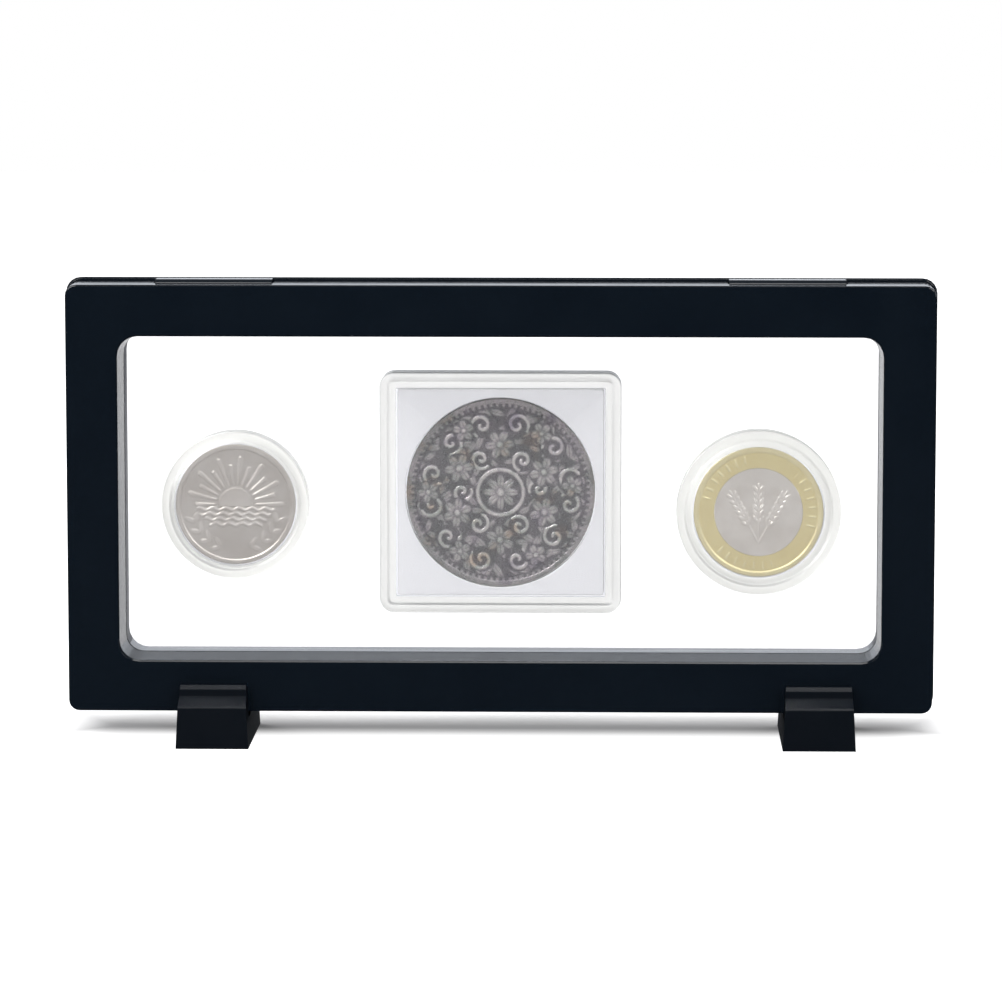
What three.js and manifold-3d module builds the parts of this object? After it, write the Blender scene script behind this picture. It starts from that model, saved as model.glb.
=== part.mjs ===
// A hinged two-film display case for three coins in their clear capsules, standing in two clip-on feet.
// Millimetres. X runs to the right, the front faces -Y, Z is up, and the origin is on the table
// below the middle of the case. The two halves of the case meet at the plane y = 0.

import * as THREE from 'three';
import { mergeVertices } from 'three/addons/utils/BufferGeometryUtils.js';
import Module from 'manifold-3d';

const wasm = await Module();
wasm.setup();

// Case as a whole: a window with the same border all round
const windowWidth = 157;
const windowHeight = 67;
const borderWidth = 11.5;
const caseDepth = 20;
const caseCornerRadius = 3.1;
const caseLift = 6;
const partingGap = 0.3;
const coverInset = 0.65;
const coverDraft = 0.25;
const rearDraft = 0.6;
const faceEdgeRadius = 0.3;
const partingChamfer = 0.35;

// Edges of the window through both halves
const windowCornerRadius = 4.1;
const windowDraft = 0.42;
const windowEdgeRadius = 0.35;

// Moulded walls of each half
const faceWall = 2;
const outerWall = 2;
const innerWall = 3.2;
const ribThickness = 1.2;
const ribPitch = 16;
const ribSetback = 1;
const leastFillet = 0.2;

// Hinge on the top edge
const hingeLength = 24;
const hingePlaceShares = [-0.6556, 0.6556];
const hingeAxisForward = 3.8;
const hingeTopSink = 0.1;
const hingeBarrelRadius = 1.9;
const hingeNotchClearance = 0.4;
const hingeEndClearance = 0.3;
const hingePinRadius = 0.8;
const hingePinLength = 1.8;
const hingePinClearance = 0.1;
const hingeCheek = 3.2;
const hingeBlockWall = 1.6;
const hingeTongueRoot = 1.8;

// Snap tongues and locating pegs along the bottom edge
const snapTongueSideGap = 2.4;
const snapTongueThickness = 1.4;
const snapTongueReach = 3;
const snapTongueRoot = 6;
const snapTonguePlaceShares = [-2.5, 2.5];
const pegRadius = 1.2;
const pegReach = 3;
const pegBossRadius = 2.6;
const pegClearance = 0.3;
const fitClearance = 0.3;

// Elastic film on each half
const filmThickness = 0.2;
const filmRecess = 0.4;
const filmSeatGap = 0.02;
const filmEdgeMargin = 0.6;
const filmCapsuleClearance = 0.3;
const filmFlatRim = 0.6;
const filmLargestStep = 5.5;
const filmSettlingPasses = 400;

// Clip-on feet
const footWidth = 15;
const footSideDraft = 0.7;
const footToeReach = 3.4;
const footToeDrop = 1.5;
const footToeRound = 0.4;
const footArmReach = 6.7;
const footArmStep = 2.3;
const footArmThickness = 2.6;
const footArmBevel = 0.8;
const footSlotClearance = 0.3;
const footRestGap = 0.2;
const footLeadIn = 0.4;
const leftFootPlaceShare = -0.6556;
const rightFootPlaceShare = 0.73;

// Square capsule with its foam insert and the large coin
const squareCapsuleCornerRadius = 3;
const squareCapsuleEdge = 0.5;
const squareCapsulePlate = 1.2;
const squareCapsuleWall = 1.6;
const squareCapsuleSkirt = 1.5;
const squareCapsuleSkirtReach = 2.6;
const squareCapsulePlaceShares = [0, 0.018];
const insertMargin = 1.6;
const insertThickness = 3.2;
const largeCoinDiameter = 39;
const largeCoinThickness = 2.6;
const coinHoleClearance = 0.2;

// Round capsules and their coins
const capsulePlate = 1;
const capsuleRimWidth = 2;
const capsuleRimRise = 0.6;
const capsuleRimEdge = 0.5;
const capsuleSpigotWall = 0.9;
const capsuleSpigotReach = 0.7;
const capsuleSegments = 36;
const leftCapsuleBorder = 2.55;
const leftCapsulePlaceShares = [-0.7006, -0.063];
const leftCoinDiameter = 25;
const leftCoinThickness = 1.9;
const rightCapsuleBorder = 3.3;
const rightCapsulePlaceShares = [0.6803, -0.1015];
const rightCoinDiameter = 27;
const rightCoinThickness = 2;
const rightCoreDiameter = 18.4;
const coreClearance = 0.05;

// Rim that all three coins have
const coinRimWidth = 1.1;
const coinRimRise = 0.16;
const coinEdgeBevel = 0.15;
const coinSegments = 48;

// Shared by all cuts and curves
const overrun = 1;
const arcSteps = 5;
const edgeSteps = 2;
const roundSegments = 16;
const weldDistance = 0.0001;

const quarterTurn = Math.PI / 2;

// Turns any closed three.js geometry into a solid that can be cut and joined.
function toSolid(geometry) {
  const bare = geometry.clone();
  bare.deleteAttribute('normal');
  bare.deleteAttribute('uv');
  const welded = mergeVertices(bare, weldDistance);
  const points = new Float32Array(welded.getAttribute('position').array);
  const corners = [];
  let volume = 0;
  const a = new THREE.Vector3();
  const b = new THREE.Vector3();
  const c = new THREE.Vector3();
  for (let i = 0; i < welded.index.count; i += 3) {
    const [p, q, r] = [0, 1, 2].map((k) => welded.index.getX(i + k));
    if (p === q || q === r || r === p) continue;
    a.fromArray(points, 3 * p);
    b.fromArray(points, 3 * q);
    c.fromArray(points, 3 * r);
    volume += a.dot(b.cross(c));
    corners.push([p, q, r]);
  }
  const outward = volume < 0 ? corners.map(([p, q, r]) => [p, r, q]) : corners;
  const triVerts = new Uint32Array(outward.flat());
  return new wasm.Manifold(new wasm.Mesh({ numProp: 3, vertProperties: points, triVerts }));
}

function toPiece(name, solid, material) {
  const { vertProperties, triVerts } = solid.getMesh();
  const geometry = new THREE.BufferGeometry();
  geometry.setAttribute('position', new THREE.BufferAttribute(vertProperties, 3));
  geometry.setIndex(new THREE.BufferAttribute(triVerts, 1));
  geometry.computeVertexNormals();
  const piece = new THREE.Mesh(geometry, material);
  piece.name = name;
  return piece;
}

function box(lowX, highX, lowY, highY, lowZ, highZ) {
  const geometry = new THREE.BoxGeometry(highX - lowX, highY - lowY, highZ - lowZ);
  geometry.translate((lowX + highX) / 2, (lowY + highY) / 2, (lowZ + highZ) / 2);
  return toSolid(geometry);
}

function cylinderAlongX(radius, lowX, highX, y, z) {
  const geometry = new THREE.CylinderGeometry(radius, radius, highX - lowX, roundSegments);
  geometry.rotateZ(quarterTurn);
  geometry.translate((lowX + highX) / 2, y, z);
  return toSolid(geometry);
}

function cylinderAlongY(radius, lowY, highY, x, z) {
  const geometry = new THREE.CylinderGeometry(radius, radius, highY - lowY, roundSegments);
  geometry.translate(x, (lowY + highY) / 2, z);
  return toSolid(geometry);
}

// An outline drawn in the YZ plane, pulled along X.
function extrudeAlongX(outline, lowX, highX) {
  const geometry = new THREE.ExtrudeGeometry(outline, { depth: highX - lowX, bevelEnabled: false });
  const turn = new THREE.Matrix4().makeBasis(
    new THREE.Vector3(0, 1, 0),
    new THREE.Vector3(0, 0, 1),
    new THREE.Vector3(1, 0, 0),
  );
  geometry.applyMatrix4(turn);
  geometry.translate(lowX, 0, 0);
  return geometry;
}

// Points of a rectangle with round corners in the XZ plane.
function roundedOutline(width, height, radius) {
  const signs = [[1, -1], [1, 1], [-1, 1], [-1, -1]];
  return signs.flatMap(([signX, signZ], corner) => {
    const centre = new THREE.Vector2(signX * (width / 2 - radius), signZ * (height / 2 - radius));
    return Array.from({ length: arcSteps + 1 }, (_, k) => {
      const angle = (corner - 1 + k / arcSteps) * quarterTurn;
      return new THREE.Vector2(Math.cos(angle), Math.sin(angle)).multiplyScalar(radius).add(centre);
    });
  });
}

// A rounded block along Y. Each level is a depth and how far the outline stands out there.
function roundedBlock(width, height, radius, levels) {
  const positions = [];
  const index = [];
  const ring = 4 * (arcSteps + 1);
  for (const [y, growth] of levels) {
    const fillet = Math.max(radius + growth, leastFillet);
    for (const point of roundedOutline(width + 2 * growth, height + 2 * growth, fillet)) {
      positions.push(point.x, y, point.y);
    }
  }
  for (let level = 0; level < levels.length - 1; level += 1) {
    for (let k = 0; k < ring; k += 1) {
      const near = level * ring + k;
      const beside = level * ring + ((k + 1) % ring);
      index.push(near, beside + ring, beside, near, near + ring, beside + ring);
    }
  }
  const last = (levels.length - 1) * ring;
  for (let k = 1; k < ring - 1; k += 1) {
    index.push(0, k, k + 1, last, last + k + 1, last + k);
  }
  const geometry = new THREE.BufferGeometry();
  geometry.setAttribute('position', new THREE.Float32BufferAttribute(positions, 3));
  geometry.setIndex(index);
  return toSolid(geometry);
}

// Levels of a rounded edge, from the side wall to the face at the given depth.
function edgeLevels(faceDepth, side, radius, growth) {
  return Array.from({ length: edgeSteps + 1 }, (_, k) => {
    const angle = (k / edgeSteps) * quarterTurn;
    const inward = radius * (1 - Math.cos(angle));
    return [side * (faceDepth - radius + radius * Math.sin(angle)), growth - inward];
  });
}

// Places that both halves share
const caseWidth = windowWidth + 2 * borderWidth;
const caseHeight = windowHeight + 2 * borderWidth;
const halfDepth = caseDepth / 2;
const halfGap = partingGap / 2;
const hingeAxisZ = caseHeight / 2 - hingeTopSink - hingeBarrelRadius;
const hingeAxisY = -hingeAxisForward;
const hingeCentres = hingePlaceShares.map((share) => (share * caseWidth) / 2);
const notchRadius = hingeBarrelRadius + hingeNotchClearance;
const pegX = caseWidth / 2 - borderWidth / 2;
const pegZ = -caseHeight / 2 + borderWidth / 2;
const pegPlaces = [-pegX, pegX];
const snapTonguePlaces = snapTonguePlaceShares.map((share) => share * ribPitch);
const snapTongueWidth = ribPitch - ribThickness - 2 * snapTongueSideGap;
const filmLand = innerWall - filmEdgeMargin;
const filmLandDepth = halfGap + filmRecess;

// Capsules: each one's place in the window, its outer size and how far it stands out of the middle
const insertWidth = largeCoinDiameter + 2 * (coinHoleClearance + insertMargin);
const squarePanelWidth = insertWidth + 2 * fitClearance;
const squareSkirtWidth = squarePanelWidth + 2 * squareCapsuleSkirt;
const squareInside = Math.max(insertThickness, largeCoinThickness) / 2 + fitClearance;
const squareCapsule = {
  place: placeInWindow(squareCapsulePlaceShares),
  half: squareSkirtWidth / 2 + fitClearance + squareCapsuleWall,
  reach: squareInside + squareCapsulePlate,
};
const leftCapsule = roundCapsuleSizes(leftCapsulePlaceShares, leftCoinDiameter, leftCoinThickness,
  leftCapsuleBorder);
const rightCapsule = roundCapsuleSizes(rightCapsulePlaceShares, rightCoinDiameter, rightCoinThickness,
  rightCapsuleBorder);

function placeInWindow([shareX, shareZ]) {
  return new THREE.Vector3((shareX * windowWidth) / 2, 0, (shareZ * windowHeight) / 2);
}

function roundCapsuleSizes(placeShares, coinDiameter, coinThickness, border) {
  const cavity = coinDiameter / 2 + coinHoleClearance;
  const inside = coinThickness / 2 + fitClearance;
  const reach = inside + capsulePlate + capsuleRimRise;
  return { place: placeInWindow(placeShares), radius: cavity + border, cavity, inside, reach };
}

// One moulded half, open towards the other half. side is -1 for the front and 1 for the rear.
function frameHalf(side, inset, outerDraft) {
  const pocketWidth = caseWidth - 2 * (inset + outerWall);
  const pocketHeight = caseHeight - 2 * (inset + outerWall);
  const pocketRadius = Math.max(caseCornerRadius - inset - outerWall, leastFillet);
  const floorDepth = halfDepth - faceWall;

  const block = roundedBlock(caseWidth, caseHeight, caseCornerRadius, [
    [side * halfGap, -inset - partingChamfer],
    [side * (halfGap + partingChamfer), -inset],
    ...edgeLevels(halfDepth, side, faceEdgeRadius, -inset - outerDraft),
  ]);
  const opening = roundedBlock(windowWidth, windowHeight, windowCornerRadius, [
    [-side * overrun, -windowDraft],
    [side * halfGap, -windowDraft],
    [side * (halfDepth - windowEdgeRadius), 0],
    [side * halfDepth, windowEdgeRadius],
    [side * (halfDepth + overrun), windowEdgeRadius + overrun],
  ]);
  const pocket = roundedBlock(pocketWidth, pocketHeight, pocketRadius, [
    [-side * overrun, 0],
    [side * halfGap, 0],
    [side * floorDepth, -outerDraft],
  ]);
  const innerRing = roundedBlock(windowWidth, windowHeight, windowCornerRadius, [
    [side * filmLandDepth, innerWall - windowDraft],
    [side * halfDepth, innerWall],
  ]);
  return block.subtract(pocket.subtract(innerRing).subtract(ribs(side))).subtract(opening);
}

// Cross ribs at a steady pitch, each running from one side of the half to the other.
function ribs(side) {
  const lowY = Math.min(side * (halfGap + ribSetback), side * halfDepth);
  const highY = Math.max(side * (halfGap + ribSetback), side * halfDepth);
  const columns = Math.floor((windowWidth / 2 + innerWall) / ribPitch);
  const rows = Math.floor((windowHeight / 2) / ribPitch);
  const half = ribThickness / 2;
  let all = box(-half, half, lowY, highY, -caseHeight / 2, caseHeight / 2);
  for (let k = -columns; k <= columns; k += 1) {
    const x = k * ribPitch;
    all = all.add(box(x - half, x + half, lowY, highY, -caseHeight / 2, caseHeight / 2));
  }
  for (let k = -rows; k <= rows; k += 1) {
    const z = k * ribPitch;
    all = all.add(box(-caseWidth / 2, caseWidth / 2, lowY, highY, z - half, z + half));
  }
  return all;
}

// The rear half carries the hinge tongues with their stub pins, and the peg sockets.
function rearFrame(material) {
  let solid = frameHalf(1, 0, rearDraft);
  for (const x of hingeCentres) {
    const tongue = new THREE.Shape();
    tongue.moveTo(hingeTongueRoot, hingeAxisZ - hingeBarrelRadius);
    tongue.lineTo(hingeTongueRoot, hingeAxisZ + hingeBarrelRadius);
    tongue.lineTo(hingeAxisY, hingeAxisZ + hingeBarrelRadius);
    tongue.absarc(hingeAxisY, hingeAxisZ, hingeBarrelRadius, quarterTurn, 3 * quarterTurn, false);
    const low = x - hingeLength / 2;
    const high = x + hingeLength / 2;
    const pinLow = low - hingePinLength;
    const pinHigh = high + hingePinLength;
    solid = solid.add(toSolid(extrudeAlongX(tongue, low, high)));
    solid = solid.add(cylinderAlongX(hingePinRadius, pinLow, pinHigh, hingeAxisY, hingeAxisZ));
  }
  for (const x of pegPlaces) {
    solid = solid.add(cylinderAlongY(pegBossRadius, halfGap, halfDepth - faceWall / 2, x, pegZ));
    const socketRadius = pegRadius + pegClearance;
    solid = solid.subtract(cylinderAlongY(socketRadius, -overrun, halfDepth - faceWall, x, pegZ));
  }
  return toPiece('rear_frame', solid, material);
}

// The front half is the cover: notches and sockets for the hinge, pegs and snap tongues.
function frontFrame(material) {
  let solid = frameHalf(-1, coverInset, coverDraft);
  const coverTop = caseHeight / 2 - coverInset;
  for (const x of hingeCentres) {
    const notchHalf = hingeLength / 2 + hingeEndClearance;
    const blockHalf = notchHalf + hingeCheek;
    const blockFloor = hingeAxisZ - notchRadius - hingeBlockWall;
    solid = solid.add(
      box(x - blockHalf, x + blockHalf, faceWall / 2 - halfDepth, -halfGap - partingChamfer,
        blockFloor, coverTop - outerWall / 2),
    );
    solid = solid.subtract(
      box(x - notchHalf, x + notchHalf, hingeAxisY - notchRadius, overrun,
        hingeAxisZ - notchRadius, coverTop + overrun),
    );
    const socketRadius = hingePinRadius + hingePinClearance;
    const socketHalf = notchHalf + hingePinLength + hingePinClearance;
    solid = solid.subtract(
      cylinderAlongX(socketRadius, x - socketHalf, x + socketHalf, hingeAxisY, hingeAxisZ),
    );
  }
  for (const x of pegPlaces) {
    solid = solid.add(cylinderAlongY(pegBossRadius, faceWall / 2 - halfDepth, -halfGap, x, pegZ));
    solid = solid.add(cylinderAlongY(pegRadius, faceWall / 2 - halfDepth, pegReach, x, pegZ));
  }
  const tongueLow = outerWall + fitClearance - caseHeight / 2;
  for (const x of snapTonguePlaces) {
    const half = snapTongueWidth / 2;
    solid = solid.add(
      box(x - half, x + half, -snapTongueRoot, snapTongueReach,
        tongueLow, tongueLow + snapTongueThickness),
    );
  }
  return toPiece('front_frame', solid, material);
}

// Lines of the film's grid along one direction: its edge, its flat rim, the given capsule edges,
// and even steps between these.
function filmStations(halfWindow, capsuleEdges) {
  const edge = halfWindow + filmLand;
  const rim = halfWindow - filmFlatRim;
  const stops = [-rim, ...capsuleEdges, rim].sort((a, b) => a - b);
  const stations = [-edge, -rim];
  for (let k = 1; k < stops.length; k += 1) {
    const stretch = stops[k] - stops[k - 1];
    const count = Math.ceil(stretch / filmLargestStep);
    for (let step = 1; step <= count; step += 1) {
      stations.push(stops[k - 1] + (stretch * step) / count);
    }
  }
  return [...stations, edge];
}

function filmEdges(middle, half) {
  return [middle - half - filmCapsuleClearance, middle + half + filmCapsuleClearance];
}

// How far the capsule under one cell of the film stands out of the middle, or 0 where there is none.
function capsuleReach(lowX, highX, lowZ, highZ) {
  const offX = (x) => Math.min(Math.max(x, lowX), highX) - x;
  const offZ = (z) => Math.min(Math.max(z, lowZ), highZ) - z;
  const { place, half } = squareCapsule;
  const off = Math.max(Math.abs(offX(place.x)), Math.abs(offZ(place.z)));
  const nearby = filmCapsuleClearance / 2;
  if (off < half + nearby) return squareCapsule.reach;
  const under = [leftCapsule, rightCapsule].find((capsule) => (
    Math.hypot(offX(capsule.place.x), offZ(capsule.place.z)) < capsule.radius + nearby
  ));
  return under ? under.reach : 0;
}

// A stretched film that lies flat on its land and is tented over the capsules.
function film(name, side, material) {
  const xs = filmStations(windowWidth / 2 - windowDraft, [
    ...filmEdges(squareCapsule.place.x, squareCapsule.half),
    ...filmEdges(leftCapsule.place.x, leftCapsule.radius),
    ...filmEdges(rightCapsule.place.x, rightCapsule.radius),
  ]);
  const zs = filmStations(windowHeight / 2 - windowDraft,
    filmEdges(squareCapsule.place.z, squareCapsule.half));
  const seat = filmLandDepth - filmSeatGap - filmThickness;
  const heights = xs.map(() => zs.map(() => 0));
  const held = xs.map((_, i) => zs.map((__, j) => (
    i < 2 || j < 2 || i > xs.length - 3 || j > zs.length - 3
  )));
  for (let i = 1; i < xs.length - 2; i += 1) {
    for (let j = 1; j < zs.length - 2; j += 1) {
      const reach = capsuleReach(xs[i], xs[i + 1], zs[j], zs[j + 1]);
      if (reach === 0) continue;
      for (const [p, q] of [[i, j], [i + 1, j], [i, j + 1], [i + 1, j + 1]]) {
        heights[p][q] = Math.max(heights[p][q], reach + filmCapsuleClearance - seat);
        held[p][q] = true;
      }
    }
  }
  for (let pass = 0; pass < filmSettlingPasses; pass += 1) {
    for (let i = 2; i < xs.length - 2; i += 1) {
      for (let j = 2; j < zs.length - 2; j += 1) {
        if (held[i][j]) continue;
        const around = heights[i - 1][j] + heights[i + 1][j] + heights[i][j - 1] + heights[i][j + 1];
        heights[i][j] = around / 4;
      }
    }
  }
  const rows = zs.length;
  const count = xs.length * rows;
  const cornerRadius = windowCornerRadius - windowDraft + filmLand;
  const positions = [];
  for (const layer of [0, filmThickness]) {
    xs.forEach((x, i) => zs.forEach((z, j) => {
      const [roundX, roundZ] = withinRoundCorner(x, z, xs[xs.length - 1], zs[rows - 1], cornerRadius);
      positions.push(roundX, side * (seat + layer + heights[i][j]), roundZ);
    }));
  }
  const index = [];
  for (let i = 0; i < xs.length - 1; i += 1) {
    for (let j = 0; j < rows - 1; j += 1) {
      const [a, b, c, d] = [i * rows + j, (i + 1) * rows + j, (i + 1) * rows + j + 1, i * rows + j + 1];
      index.push(a, c, b, a, d, c, count + a, count + b, count + c, count + a, count + c, count + d);
    }
  }
  const border = [];
  for (let i = 0; i < xs.length - 1; i += 1) border.push(i * rows);
  for (let j = 0; j < rows - 1; j += 1) border.push((xs.length - 1) * rows + j);
  for (let i = xs.length - 1; i > 0; i -= 1) border.push(i * rows + rows - 1);
  for (let j = rows - 1; j > 0; j -= 1) border.push(j);
  border.forEach((here, k) => {
    const next = border[(k + 1) % border.length];
    index.push(here, next, count + next, here, count + next, count + here);
  });
  const geometry = new THREE.BufferGeometry();
  geometry.setAttribute('position', new THREE.Float32BufferAttribute(positions, 3));
  geometry.setIndex(index);
  return toPiece(name, toSolid(geometry), material);
}

// Pulls a point beyond a rounded corner back onto its arc.
function withinRoundCorner(x, z, halfX, halfZ, radius) {
  const offX = Math.abs(x) - (halfX - radius);
  const offZ = Math.abs(z) - (halfZ - radius);
  const off = Math.hypot(offX, offZ);
  if (offX <= 0 || offZ <= 0 || off <= radius) return [x, z];
  const pull = radius / off;
  return [
    Math.sign(x) * (halfX - radius + offX * pull),
    Math.sign(z) * (halfZ - radius + offZ * pull),
  ];
}

// A foot: one profile from front to back, narrowing towards the top of its arms.
function foot(name, placeShare, material) {
  const slot = caseDepth / 2 + footSlotClearance;
  const arm = slot + footArmThickness;
  const toe = arm + footToeReach;
  const footSlotFloor = caseLift - footRestGap;
  const footArmHeight = caseLift + footArmReach;
  const footLedgeHeight = footArmHeight - footArmStep;
  const footToeHeight = footLedgeHeight - footToeDrop;
  const outline = new THREE.Shape();
  outline.moveTo(-toe, 0);
  outline.lineTo(toe, 0);
  outline.lineTo(toe, footToeHeight - footToeRound);
  outline.lineTo(toe - footToeRound, footToeHeight);
  outline.lineTo(arm, footLedgeHeight);
  outline.lineTo(arm, footArmHeight - footArmBevel);
  outline.lineTo(arm - footArmBevel, footArmHeight);
  outline.lineTo(slot + footLeadIn, footArmHeight);
  outline.lineTo(slot, footArmHeight - footLeadIn);
  outline.lineTo(slot, footSlotFloor);
  outline.lineTo(-slot, footSlotFloor);
  outline.lineTo(-slot, footArmHeight - footLeadIn);
  outline.lineTo(-slot - footLeadIn, footArmHeight);
  outline.lineTo(footArmBevel - arm, footArmHeight);
  outline.lineTo(-arm, footArmHeight - footArmBevel);
  outline.lineTo(-arm, footLedgeHeight);
  outline.lineTo(footToeRound - toe, footToeHeight);
  outline.lineTo(-toe, footToeHeight - footToeRound);
  const geometry = extrudeAlongX(outline, -footWidth / 2, footWidth / 2);
  const points = geometry.getAttribute('position');
  for (let i = 0; i < points.count; i += 1) {
    const draft = footSideDraft * (points.getZ(i) / footArmHeight);
    points.setX(i, points.getX(i) - Math.sign(points.getX(i)) * draft);
  }
  const piece = toPiece(name, toSolid(geometry), material);
  piece.position.x = (placeShare * caseWidth) / 2;
  return piece;
}

// Solid of revolution about Y from points of radius and depth.
function revolve(points, segments) {
  const profile = points.map(([radius, y]) => new THREE.Vector2(radius, y));
  return toSolid(new THREE.LatheGeometry([...profile, profile[0]], segments));
}

// One coin: a struck disc with a raised rim, or a ring of one when it has a hole.
function coinSolid(diameter, thickness, holeRadius) {
  const radius = diameter / 2;
  const face = thickness / 2;
  const field = face - coinRimRise;
  const rim = radius - coinRimWidth;
  return revolve([
    [holeRadius, -field],
    [rim, -field],
    [rim + coinRimRise, -face],
    [radius - coinEdgeBevel, -face],
    [radius, coinEdgeBevel - face],
    [radius, face - coinEdgeBevel],
    [radius - coinEdgeBevel, face],
    [rim + coinRimRise, face],
    [rim, field],
    [holeRadius, field],
  ], coinSegments);
}

// Half of a round capsule. side is -1 for the front lid and 1 for the rear dish with its spigot.
function roundCapsuleHalf(side, { radius: outer, cavity, inside, reach: rimTop }) {
  const plate = inside + capsulePlate;
  const rimInner = outer - capsuleRimWidth;
  const spigot = cavity + capsuleSpigotWall;
  const shell = [
    [0, inside],
    [0, plate],
    [rimInner, plate],
    [rimInner + capsuleRimEdge, rimTop],
    [outer - capsuleRimEdge, rimTop],
    [outer, rimTop - capsuleRimEdge],
    [outer, halfGap],
  ];
  const lid = [
    [spigot + fitClearance, halfGap],
    [spigot + fitClearance, inside],
  ];
  const dish = [
    [spigot, halfGap],
    [spigot, -capsuleSpigotReach],
    [cavity, -capsuleSpigotReach],
    [cavity, inside],
  ];
  const points = [...shell, ...(side < 0 ? lid : dish)];
  return revolve(points.map(([radius, y]) => [radius, side * y]), capsuleSegments);
}

function roundCapsuleGroup(prefix, sizes, material) {
  const group = new THREE.Group();
  group.position.copy(sizes.place);
  group.add(toPiece(`${prefix}_capsule_front`, roundCapsuleHalf(-1, sizes), material));
  group.add(toPiece(`${prefix}_capsule_rear`, roundCapsuleHalf(1, sizes), material));
  return group;
}

// The square capsule: a rear tray, a front lid whose skirt nests in it, and a foam insert.
function squareCapsuleGroup(clear, foam, silver) {
  const group = new THREE.Group();
  group.position.copy(squareCapsule.place);
  const face = squareCapsule.reach;
  const plateInside = squareInside;
  const size = 2 * squareCapsule.half;
  const radius = squareCapsuleCornerRadius;
  const panelWidth = squarePanelWidth;
  const skirtWidth = squareSkirtWidth;
  const skirtRadius = radius - squareCapsuleWall;

  const tray = roundedBlock(size, size, radius, [
    [-plateInside + fitClearance, 0],
    ...edgeLevels(face, 1, squareCapsuleEdge, 0),
  ]).subtract(roundedBlock(size, size, radius, [
    [-face - overrun, -squareCapsuleWall],
    [plateInside, -squareCapsuleWall],
  ]));
  const skirt = roundedBlock(skirtWidth, skirtWidth, skirtRadius, [
    [squareCapsuleSkirtReach - face, 0],
    [-plateInside - squareCapsulePlate / 2, 0],
  ]).subtract(roundedBlock(panelWidth, panelWidth, leastFillet, [
    [-plateInside, 0],
    [squareCapsuleSkirtReach, 0],
  ]));
  const lid = roundedBlock(size, size, radius, [
    [-plateInside, 0],
    ...edgeLevels(face, -1, squareCapsuleEdge, 0),
  ]).add(skirt);
  const hole = largeCoinDiameter / 2 + coinHoleClearance;
  const insertHalf = insertThickness / 2;
  const insert = roundedBlock(insertWidth, insertWidth, leastFillet, [
    [-insertHalf, 0],
    [insertHalf, 0],
  ]).subtract(toSolid(new THREE.CylinderGeometry(hole, hole, insertThickness + overrun, coinSegments)));

  group.add(toPiece('square_capsule_front', lid, clear));
  group.add(toPiece('square_capsule_rear', tray, clear));
  group.add(toPiece('square_capsule_insert', insert, foam));
  group.add(toPiece('large_coin', coinSolid(largeCoinDiameter, largeCoinThickness, 0), silver));
  return group;
}

function plastic(color, roughness) {
  return new THREE.MeshStandardMaterial({ color, roughness, metalness: 0 });
}

function metal(color, roughness) {
  return new THREE.MeshStandardMaterial({ color, roughness, metalness: 1 });
}

function clearPlastic(color, opacity) {
  return new THREE.MeshStandardMaterial({ color, opacity, transparent: true, roughness: 0.05 });
}

const blackPlastic = plastic(0x11151c, 0.35);
const footPlastic = plastic(0x14171f, 0.4);
const foamPlastic = plastic(0xeeeeee, 0.9);
const clearStyrene = clearPlastic(0xf4f6f8, 0.25);
const clearFilm = clearPlastic(0xffffff, 0.1);
const tonedSilver = metal(0x8a8488, 0.4);
const nickelSteel = metal(0xc0bcb6, 0.35);
const nickelBrass = metal(0xd8c88c, 0.35);

// The capsules and coins lie in the middle of the case, between the two films.
const contents = new THREE.Group();
contents.add(squareCapsuleGroup(clearStyrene, foamPlastic, tonedSilver));

const leftGroup = roundCapsuleGroup('left', leftCapsule, clearStyrene);
leftGroup.add(toPiece('left_coin', coinSolid(leftCoinDiameter, leftCoinThickness, 0), nickelSteel));
contents.add(leftGroup);

const rightGroup = roundCapsuleGroup('right', rightCapsule, clearStyrene);
const coreRadius = rightCoreDiameter / 2;
const ringSolid = coinSolid(rightCoinDiameter, rightCoinThickness, coreRadius);
const coreHalf = rightCoinThickness / 2 - coinRimRise;
const coreWidth = coreRadius - coreClearance;
const coreSolid = revolve([[0, -coreHalf], [coreWidth, -coreHalf], [coreWidth, coreHalf], [0, coreHalf]],
  coinSegments);
rightGroup.add(toPiece('right_coin_ring', ringSolid, nickelBrass));
rightGroup.add(toPiece('right_coin_core', coreSolid, nickelSteel));
contents.add(rightGroup);

const coinCase = new THREE.Group();
coinCase.position.z = caseLift + caseHeight / 2;
coinCase.add(rearFrame(blackPlastic));
coinCase.add(frontFrame(blackPlastic));
coinCase.add(film('rear_film', 1, clearFilm));
coinCase.add(film('front_film', -1, clearFilm));
coinCase.add(contents);

const displayCase = new THREE.Group();
displayCase.add(coinCase);
displayCase.add(foot('left_foot', leftFootPlaceShare, footPlastic));
displayCase.add(foot('right_foot', rightFootPlaceShare, footPlastic));

export default displayCase;
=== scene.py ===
# %% [markdown]
# # A display case for three coins, dressed in Blender
# Two hinged black frames each hold a clear stretch film. Shut together, the films hold three coins in
# clear capsules, which seem to float in the window. The case stands in two clip-on feet.
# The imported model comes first: it fixes every place and size. The frames and feet keep their solids and
# get a finish. Films, capsules, foam and coins are made again here with finer shapes, each in its place.

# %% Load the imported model
import math

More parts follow.
